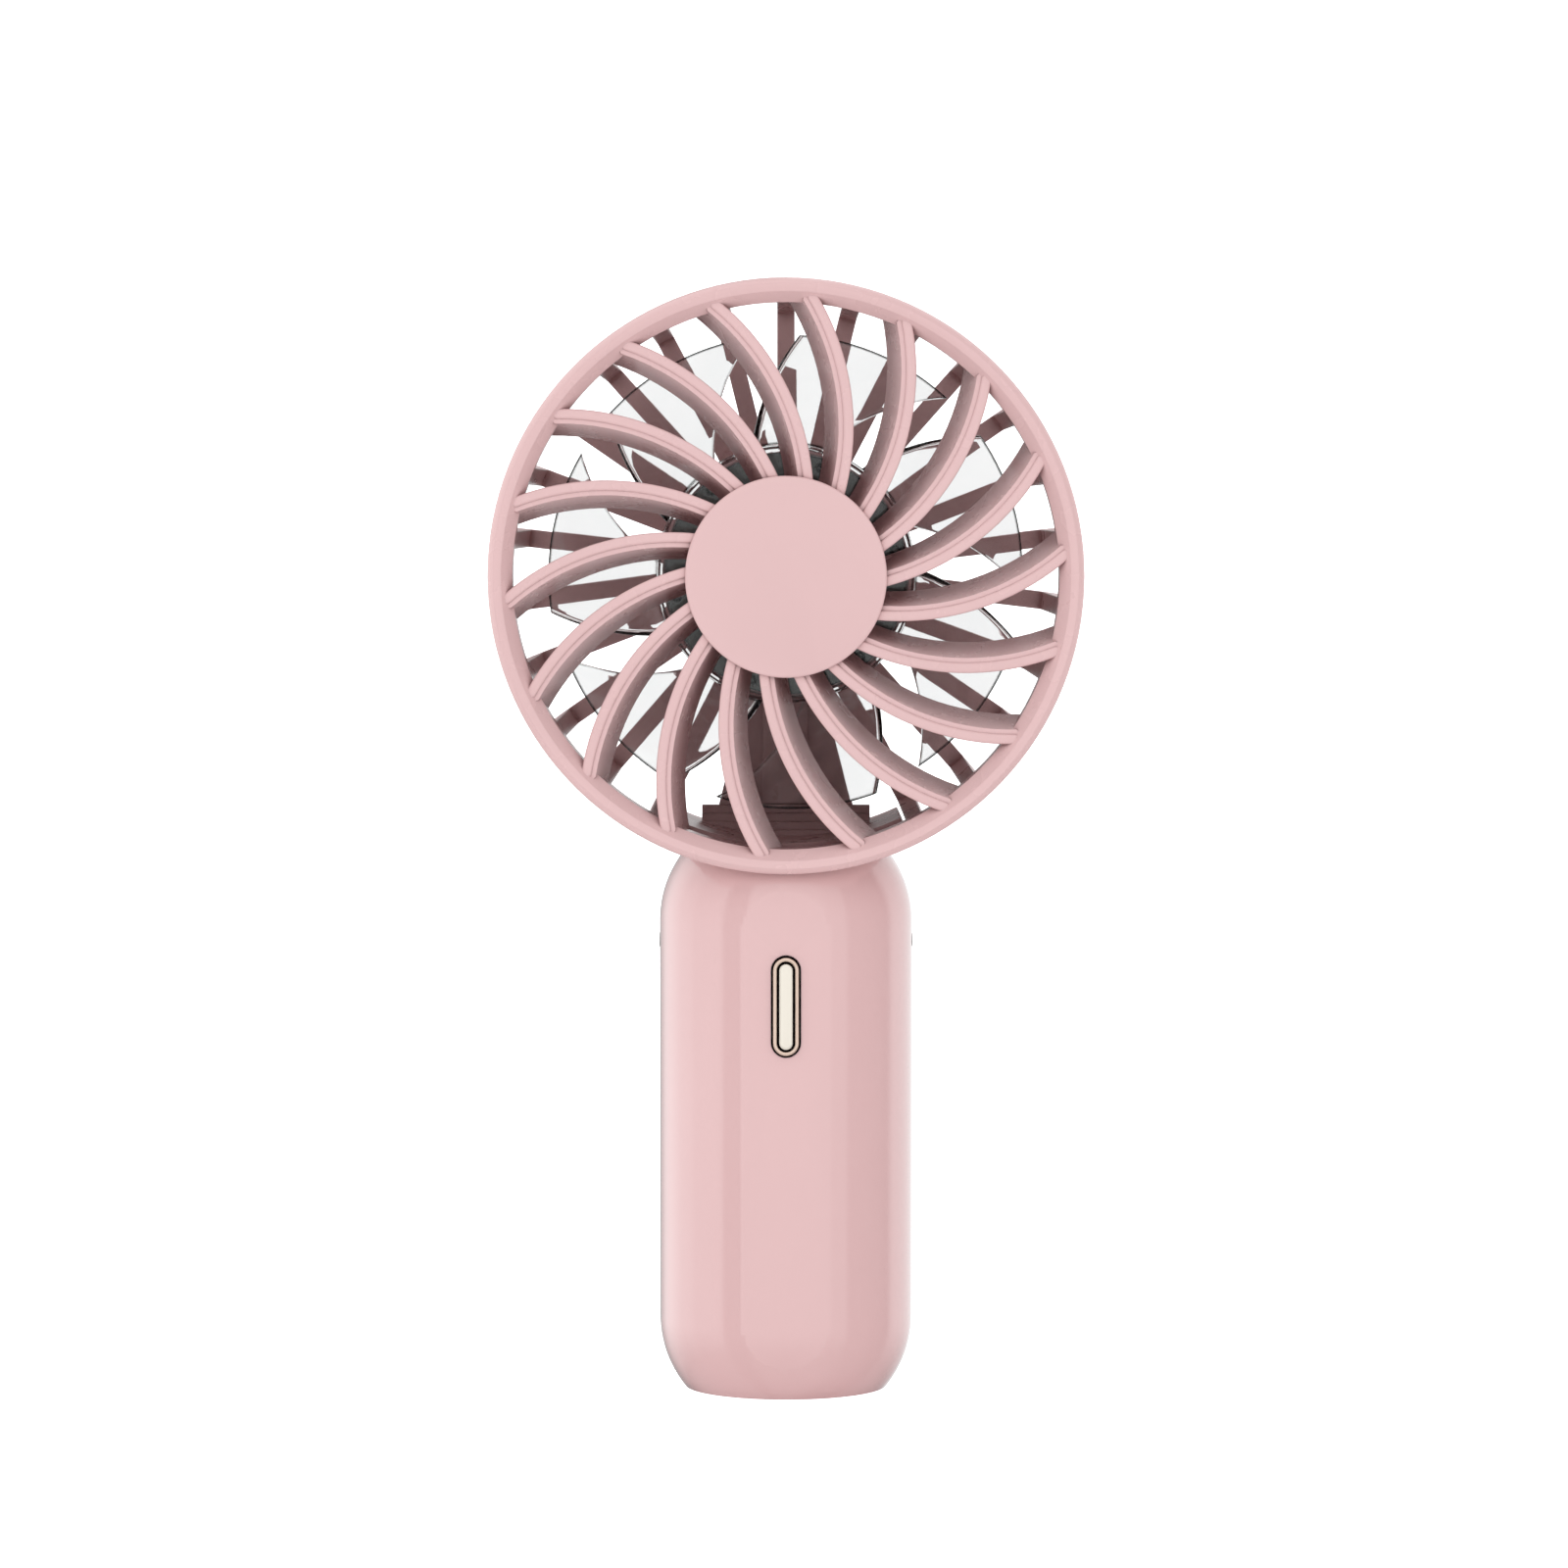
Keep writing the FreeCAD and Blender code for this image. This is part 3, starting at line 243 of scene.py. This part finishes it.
def clear(name):
    """Clear moulded plastic with faint flow lines and rims darkened by painted shade."""
    material, tree, shader = tree_of(name)
    flow = object_noise(tree, FLOW_SCALE, 2.0)
    tint = ramp(tree, flow.outputs["Fac"], (0.92, 0.93, 0.93), (0.97, 0.98, 0.98))
    darker = add(tree, "ShaderNodeMix", data_type="RGBA")
    tree.links.new(rim_share(tree), darker.inputs["Factor"])
    tree.links.new(tint.outputs["Color"], darker.inputs[FIRST])
    darker.inputs[SECOND].default_value = CLEAR_RIM_PAINTED_SHADE
    tree.links.new(darker.outputs[MIXED], shader.inputs["Base Color"])
    relief = add(tree, "ShaderNodeBump", Strength=0.08, Distance=FLOW_HEIGHT)
    tree.links.new(flow.outputs["Fac"], relief.inputs["Height"])
    tree.links.new(relief.outputs["Normal"], shader.inputs["Normal"])
    smear = object_noise(tree, FILM_SCALE)
    gloss = ramp(tree, smear.outputs["Fac"], 0.02, 0.06)
    tree.links.new(gloss.outputs["Color"], shader.inputs["Roughness"])
    shader.inputs["Transmission Weight"].default_value = 1.0
    shader.inputs["IOR"].default_value = 1.45
    return material


PINK = srgb(228, 191, 191)
LACQUER = srgb(228, 189, 189)
STEEL = (0.55, 0.55, 0.54)
MATERIALS = {
    "pink_shell": moulded("pink_shell", LACQUER, rough=0.1, bump=0.008, change=0.008, soft=0.25 * MM,
                          coat=1.0),
    # shade_in adds painted shade to the grille's recesses
    "pink_grille": moulded("pink_grille", PINK, rough=0.26, bump=0.03, change=0.015, soft=0.2 * MM,
                           shade_in=1.0),
    "pink_cap": moulded("pink_cap", PINK, rough=0.34, bump=0.04, change=0.012, soft=0.3 * MM),
    # the cage's pink is 0.96 of the grille's as painted shade, and shade_in adds painted shade in its
    # recesses
    "pink_cage": moulded("pink_cage", shade(PINK, 0.96), rough=0.3, bump=0.05, change=0.03, soft=0.3 * MM,
                         shade_in=1.0),
    "clear_plastic": clear("clear_plastic"),
    "plated": moulded("plated", srgb(250, 243, 230), rough=0.14, metallic=0.25, bump=0.01, change=0.02,
                      soft=0.03 * MM),
    "rose_plated": moulded("rose_plated", srgb(248, 222, 204), rough=0.12, metallic=0.5, bump=0.01,
                           change=0.02, soft=0.03 * MM),
    # near black: painted shade in the button's groove and gap, and painted dark reflection lines
    "button_painted_dark": moulded("button_painted_dark", (0.006, 0.003, 0.003), rough=0.7, bump=0.02, change=0.1,
                             wear=0.0, soft=0.03 * MM, shine=0.05),
    "steel": moulded("steel", STEEL, rough=0.33, metallic=1.0, bump=0.12, stretch=(1, 12, 1)),
    "zinc": moulded("zinc", (0.5, 0.5, 0.49), rough=0.38, metallic=1.0, bump=0.1),
    "dark_steel": moulded("dark_steel", (0.075, 0.085, 0.08), rough=0.36, metallic=0.7, bump=0.1,
                          stretch=(1, 9, 1)),
    "magnet": moulded("magnet", (0.03, 0.03, 0.032), rough=0.55, metallic=0.6, bump=0.2),
    "bronze": moulded("bronze", (0.45, 0.28, 0.12), rough=0.5, metallic=1.0, bump=0.3),
    "copper": moulded("copper", (0.55, 0.22, 0.09), rough=0.3, metallic=0.9, bump=0.35, stretch=(1, 25, 1)),
    "motor_alloy": moulded("motor_alloy", (0.6, 0.6, 0.62), rough=0.4, metallic=1.0, bump=0.15),
    "circuit": moulded("circuit", (0.02, 0.13, 0.06), rough=0.35, change=0.2, grain=900.0, bump=0.2,
                       coat=0.4),
    "chips": moulded("chips", (0.02, 0.02, 0.022), rough=0.6, bump=0.2),
    "cell_wrap": moulded("cell_wrap", (0.05, 0.2, 0.45), rough=0.25, bump=0.06, coat=0.3),
    "foam": moulded("foam", (0.03, 0.03, 0.03), rough=0.95, grain=1400.0, bump=0.8),
    "lead_skin": moulded("lead_skin", (0.35, 0.02, 0.02), rough=0.45, bump=0.06),
    "black_plastic": moulded("black_plastic", (0.015, 0.015, 0.015), rough=0.5, bump=0.15),
}
# nodes that look different from their slot's material
LOOKS = {"rotor_can": "dark_steel"}


def dress_nodes():
    """Own material, smooth faces and softened edges for each carried-over part."""
    for entry in frame["record"]["subparts"]:
        thing = NODES[entry["node"]]
        thing.data.materials.clear()
        thing.data.materials.append(MATERIALS[LOOKS.get(entry["node"], entry["material_slot"])])
        for face in thing.data.polygons:
            face.use_smooth = True
        weld = thing.modifiers.new("Weld", "WELD")
        weld.merge_threshold = WELD_REACH
        split = thing.modifiers.new("Creases", "EDGE_SPLIT")
        split.split_angle = CREASE


# ---------------------------------------------------------------- power button

# materials of the button by their place on its mesh
BUTTON_LOOKS = ("button_painted_dark", "rose_plated", "plated")
PAINTED_DARK, RIM, BAR = 0, 1, 2


def crown_profile():
    """Shares of the half width and of the depth, from the hidden wall inwards, with their materials."""
    wall = [(1.0, 0.0, PAINTED_DARK), (1.0, 0.74, PAINTED_DARK), (0.9, 0.81, PAINTED_DARK)]
    turns = [math.pi * step / RIM_STEPS for step in range(RIM_STEPS + 1)]
    rim = [(0.775 + 0.125 * math.cos(turn), 0.86 + 0.06 * math.sin(turn), RIM) for turn in turns]
    groove = [(0.62, 0.74, PAINTED_DARK), (0.5, 0.74, PAINTED_DARK), (0.47, 0.9, PAINTED_DARK)]
    bar = [(0.455, 0.95, BAR), (0.42, 0.985, BAR), (0.3, 1.0, BAR)]
    return wall + rim + groove + bar


def pill_loop(radius, reach, depth, middle):
    """Points round an upright pill outline at one depth."""
    points = []
    for end in (1, -1):
        for step in range(ARC_STEPS + 1):
            angle = math.pi * (step / ARC_STEPS + (end < 0))
            height = middle.z + end * reach + radius * math.sin(angle)
            points.append((middle.x + radius * math.cos(angle), depth, height))
    return points


def pill_mesh(profile, reach, front, middle):
    """Closed mesh of the pill, built from one loop for each step of its profile."""
    build = bmesh.new()
    loops = []
    for share, rise, _ in profile:
        points = pill_loop(BUTTON_HALF_WIDTH * share, reach, front + BUTTON_DEPTH * (1 - rise), middle)
        loops.append([build.verts.new(point) for point in points])
    for outer, inner, (_, _, look) in zip(loops, loops[1:], profile[1:]):
        for index in range(len(outer)):
            after = (index + 1) % len(outer)
            face = build.faces.new((outer[index], outer[after], inner[after], inner[index]))
            face.material_index = look
    build.faces.new(loops[-1]).material_index = BAR
    build.faces.new(reversed(loops[0])).material_index = PAINTED_DARK
    bmesh.ops.recalc_face_normals(build, faces=build.faces)
    mesh = bpy.data.meshes.new("button_pill")
    build.to_mesh(mesh)
    build.free()
    return mesh


def power_button():
    """Plated pill with a rounded rim, a groove and a raised bar down its middle; groove and hidden wall are
    near black as painted shade and painted dark reflection lines.
    """
    low, high = (Vector(corner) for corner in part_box("power_button"))
    reach = (high.z - low.z) / 2 - BUTTON_FLANGE - BUTTON_HALF_WIDTH
    mesh = pill_mesh(crown_profile(), reach, low.y, (low + high) / 2)
    for face in mesh.polygons:
        face.use_smooth = True
    for look in BUTTON_LOOKS:
        mesh.materials.append(MATERIALS[look])
    pill = bpy.data.objects.new("button_pill", mesh)
    bpy.context.scene.collection.objects.link(pill)
    split = pill.modifiers.new("Creases", "EDGE_SPLIT")
    split.split_angle = BUTTON_CREASE
    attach(pill, "button")
    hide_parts("power_button")


# ---------------------------------------------------------------- studio

def paper_material():
    """White paper to the camera, and a dimmer glow on everything else."""
    material, tree, shader = tree_of("studio_paper")
    shader.inputs["Base Color"].default_value = (PAPER_GREY, PAPER_GREY, PAPER_GREY, 1)
    shader.inputs["Roughness"].default_value = 0.9
    shader.inputs["Emission Color"].default_value = (1, 1, 1, 1)
    ray = add(tree, "ShaderNodeLightPath")
    glow = add(tree, "ShaderNodeMapRange")
    glow.inputs["To Min"].default_value = PAPER_GLOW
    glow.inputs["To Max"].default_value = PAPER_WHITE
    tree.links.new(ray.outputs["Is Camera Ray"], glow.inputs["Value"])
    tree.links.new(glow.outputs["Result"], shader.inputs["Emission Strength"])
    return material


def backdrop():
    """Pale floor that curves up into a pale wall."""
    profile = [(PAPER_FRONT, 0.0), (PAPER_RISE, 0.0)]
    for step in range(1, PAPER_STEPS + 1):
        angle = math.pi / 2 * step / PAPER_STEPS
        back = PAPER_RISE + PAPER_BEND * math.sin(angle)
        profile.append((back, PAPER_BEND - PAPER_BEND * math.cos(angle)))
    profile.append((PAPER_RISE + PAPER_BEND, PAPER_TOP))
    mesh = bpy.data.meshes.new("studio_floor")
    points = [(x, y, z) for y, z in profile for x in (-PAPER_HALF_WIDTH, PAPER_HALF_WIDTH)]
    faces = [(2 * i, 2 * i + 1, 2 * i + 3, 2 * i + 2) for i in range(len(profile) - 1)]
    mesh.from_pydata(points, [], faces)
    floor = bpy.data.objects.new("studio_floor", mesh)
    bpy.context.scene.collection.objects.link(floor)
    for face in mesh.polygons:
        face.use_smooth = True
    mesh.materials.append(paper_material())
    floor.visible_glossy = False


def key_light():
    """Soft box in front of the fan, above and to the left, that isn't mirrored in it."""
    lamp = bpy.data.lights.new("key", "AREA")
    lamp.shape = "RECTANGLE"
    lamp.size, lamp.size_y = KEY_SIDE, KEY_SIDE
    lamp.energy = KEY_POWER
    thing = bpy.data.objects.new("key", lamp)
    thing.location = KEY_SPOT
    thing.rotation_euler = (Vector(KEY_TARGET) - Vector(KEY_SPOT)).to_track_quat("-Z", "Y").to_euler()
    thing.visible_glossy = False
    bpy.context.scene.collection.objects.link(thing)


def turn_of_sight(tree):
    """Direction round the fan as a share of a full turn, 0.5 straight to the front."""
    way = add(tree, "ShaderNodeTexCoord")
    parts = add(tree, "ShaderNodeSeparateXYZ")
    back = add(tree, "ShaderNodeMath", operation="MULTIPLY")
    back.inputs[1].default_value = -1.0
    turn = add(tree, "ShaderNodeMath", operation="ARCTAN2")
    share = add(tree, "ShaderNodeMapRange")
    share.inputs["From Min"].default_value = -math.pi
    share.inputs["From Max"].default_value = math.pi
    tree.links.new(way.outputs["Generated"], parts.inputs["Vector"])
    tree.links.new(parts.outputs["Y"], back.inputs[0])
    tree.links.new(parts.outputs["X"], turn.inputs[0])
    tree.links.new(back.outputs["Value"], turn.inputs[1])
    tree.links.new(turn.outputs["Value"], share.inputs["Value"])
    return share.outputs["Result"]


def less_from_below(tree, brightest):
    """Brightness for shiny surfaces, which is lower for what they mirror from the floor."""
    way = add(tree, "ShaderNodeTexCoord")
    parts = add(tree, "ShaderNodeSeparateXYZ")
    fade = add(tree, "ShaderNodeMapRange")
    fade.inputs["From Min"].default_value = MIRROR_DARK_RISE
    fade.inputs["From Max"].default_value = MIRROR_FULL_RISE
    fade.inputs["To Min"].default_value = brightest * LIFT_FROM_BELOW
    fade.inputs["To Max"].default_value = brightest
    tree.links.new(way.outputs["Generated"], parts.inputs["Vector"])
    tree.links.new(parts.outputs["Z"], fade.inputs["Value"])
    return fade.outputs["Result"]


def bands_of_air(tree, direction, levels, fades_below=False):
    """Background whose brightness steps round the fan. Levels above 1 need the strength to carry them."""
    brightest = max(level for _, level in levels)
    bands = add(tree, "ShaderNodeValToRGB")
    stops = bands.color_ramp.elements
    while len(stops) < len(levels):
        stops.new(0.5)
    for stop, (degrees, level) in zip(stops, levels):
        share = level / brightest
        stop.position = (degrees + 180) / 360
        stop.color = (share, share, share, 1)
    tree.links.new(direction, bands.inputs["Fac"])
    air = add(tree, "ShaderNodeBackground", Strength=brightest)
    tree.links.new(bands.outputs["Color"], air.inputs["Color"])
    if fades_below:
        tree.links.new(less_from_below(tree, brightest), air.inputs["Strength"])
    return air.outputs["Background"]


def either(tree, choice, otherwise, chosen):
    """Second background for the chosen kind of light path, and the first for all others."""
    mixed = add(tree, "ShaderNodeMixShader")
    tree.links.new(choice, mixed.inputs["Fac"])
    tree.links.new(otherwise, mixed.inputs[1])
    tree.links.new(chosen, mixed.inputs[2])
    return mixed.outputs["Shader"]


def studio_air():
    """Even soft light all round, with darker and brighter strips for shiny surfaces to mirror."""
    world = bpy.data.worlds.new("studio_air")
    world.use_nodes = True
    tree = world.node_tree
    tree.nodes.remove(tree.nodes["Background"])
    direction = turn_of_sight(tree)
    ray = add(tree, "ShaderNodeLightPath")
    plain = bands_of_air(tree, direction, SOFT_AIR)
    seen_through = bands_of_air(tree, direction, SEEN_THROUGH_AIR)
    mirrored = bands_of_air(tree, direction, MIRRORED_AIR, fades_below=True)
    clear_or_not = either(tree, ray.outputs["Is Transmission Ray"], plain, seen_through)
    shiny_or_not = either(tree, ray.outputs["Is Glossy Ray"], clear_or_not, mirrored)
    tree.links.new(shiny_or_not, tree.nodes["World Output"].inputs["Surface"])
    world.cycles.sampling_method = "NONE"
    bpy.context.scene.world = world


def camera():
    """Level-headed product view from a little above the fan."""
    lens = bpy.data.cameras.new("camera")
    lens.sensor_fit = "HORIZONTAL"
    lens.angle = math.radians(CAMERA_VIEW)
    lens.clip_start = 0.05
    lens.clip_end = 30
    thing = bpy.data.objects.new("camera", lens)
    thing.location = CAMERA_SPOT
    thing.rotation_euler = (math.radians(90 - CAMERA_DIP), 0, 0)
    bpy.context.scene.collection.objects.link(thing)
    bpy.context.scene.camera = thing


dress_nodes()
power_button()
backdrop()
key_light()
studio_air()
bpy.context.scene.view_settings.view_transform = "Standard"
camera()
